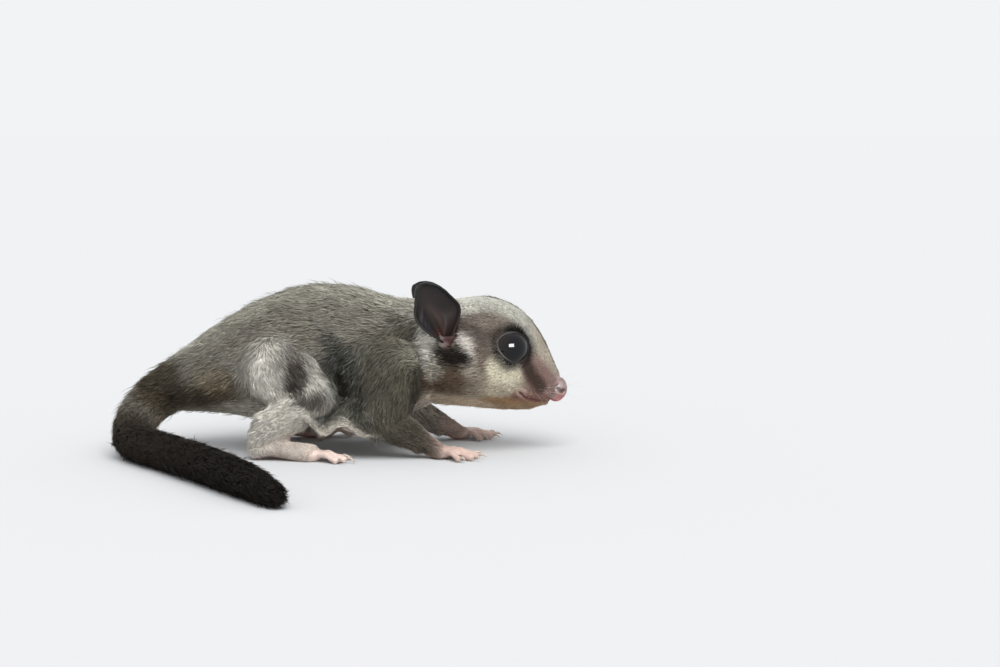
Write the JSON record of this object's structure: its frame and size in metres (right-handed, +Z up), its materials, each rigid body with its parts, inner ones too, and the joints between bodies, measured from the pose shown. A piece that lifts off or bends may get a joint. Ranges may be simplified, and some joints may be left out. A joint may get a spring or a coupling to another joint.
{
  "type": "sugar glider",
  "caption": "Still, life-size young sugar glider for display, crouching with its head level and its tail laid along the ground.",
  "frame": {"origin": "middle of the bounding box, on the plane that the animal rests on", "axes": "+X the way the animal faces, +Y to its left, +Z up"},
  "size_m": [0.0976, 0.0918, 0.0375],
  "materials": {
    "grey_brown_fur": "short soft fur, grey-brown",
    "face_fur": "short soft fur, cream and grey with dark stripes",
    "pale_fur": "short soft fur, cream",
    "dark_tail_fur": "soft fur, brown-black",
    "bare_pink_skin": "bare skin, pink",
    "dark_ear_skin": "thin bare skin, brown-black",
    "wet_black_eye": "wet gloss, black"
  },
  "bodies": {
    "root": {"torso": "grey_brown_fur", "neck": "grey_brown_fur", "right_upper_arm": "grey_brown_fur", "left_upper_arm": "grey_brown_fur", "right_forearm": "grey_brown_fur", "left_forearm": "grey_brown_fur", "right_thigh": "grey_brown_fur", "left_thigh": "grey_brown_fur", "head": "face_fur", "lower_jaw": "face_fur", "right_shank": "pale_fur", "left_shank": "pale_fur", "right_gliding_membrane": "pale_fur", "left_gliding_membrane": "pale_fur", "tail_1": "dark_tail_fur", "tail_2": "dark_tail_fur", "tail_3": "dark_tail_fur", "tail_4": "dark_tail_fur", "right_hand": "bare_pink_skin", "left_hand": "bare_pink_skin", "right_foot": "bare_pink_skin", "left_foot": "bare_pink_skin", "nose": "bare_pink_skin", "right_ear": "dark_ear_skin", "left_ear": "dark_ear_skin", "right_eye": "wet_black_eye", "left_eye": "wet_black_eye"}
  },
  "joints": []
}
